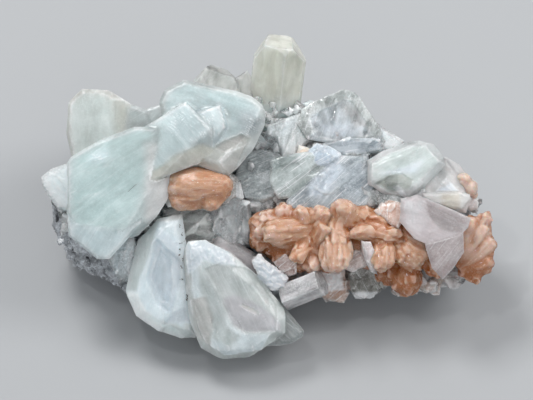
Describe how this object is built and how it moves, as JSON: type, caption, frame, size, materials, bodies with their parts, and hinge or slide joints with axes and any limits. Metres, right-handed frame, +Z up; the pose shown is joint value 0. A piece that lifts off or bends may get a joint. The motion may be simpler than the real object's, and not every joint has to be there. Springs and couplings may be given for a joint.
{
  "type": "stilbite cluster",
  "caption": "Mineral specimen: pale tabular zeolite blades and peach stilbite sheaves on grey rock with a flat cut base.",
  "frame": {"origin": "on the flat cut base of the rock, under the middle of the specimen", "axes": "+Z up from the base; +X along the specimen's length; the crystal-covered face looks towards -Y and up"},
  "size_m": [0.1371, 0.0938, 0.0622],
  "materials": {
    "milky_blade": "milky, vitreous to pearly, pale blue-green",
    "beige_blade": "milky, vitreous, faint beige, striated along its length",
    "glassy_plate": "translucent, vitreous, frosted rims",
    "violet_plate": "translucent, vitreous, faint violet",
    "peach_stilbite": "silky to pearly, fibrous",
    "grey_rock": "rough, with a druse of small grey crystals"
  },
  "bodies": {
    "root": {"left_blades": "milky_blade", "front_left_blade": "milky_blade", "front_right_blades": "milky_blade", "tall_crystal": "beige_blade", "back_tips": "beige_blade", "window_plate": "glassy_plate", "centre_plates": "glassy_plate", "right_plates": "milky_blade", "violet_plates": "violet_plate", "plates_under_bud": "glassy_plate", "small_prism": "glassy_plate", "glassy_foot": "glassy_plate", "right_foot": "glassy_plate", "back_crystals_left": "milky_blade", "back_crystals_middle": "beige_blade", "back_crystals_right": "milky_blade", "back_crystals_end": "glassy_plate", "peach_bud": "peach_stilbite", "peach_sheaves_left": "peach_stilbite", "peach_sheaves_middle": "peach_stilbite", "peach_sheaves_right": "peach_stilbite", "peach_sheaf_edge": "peach_stilbite", "matrix_rock": "grey_rock"}
  },
  "joints": []
}
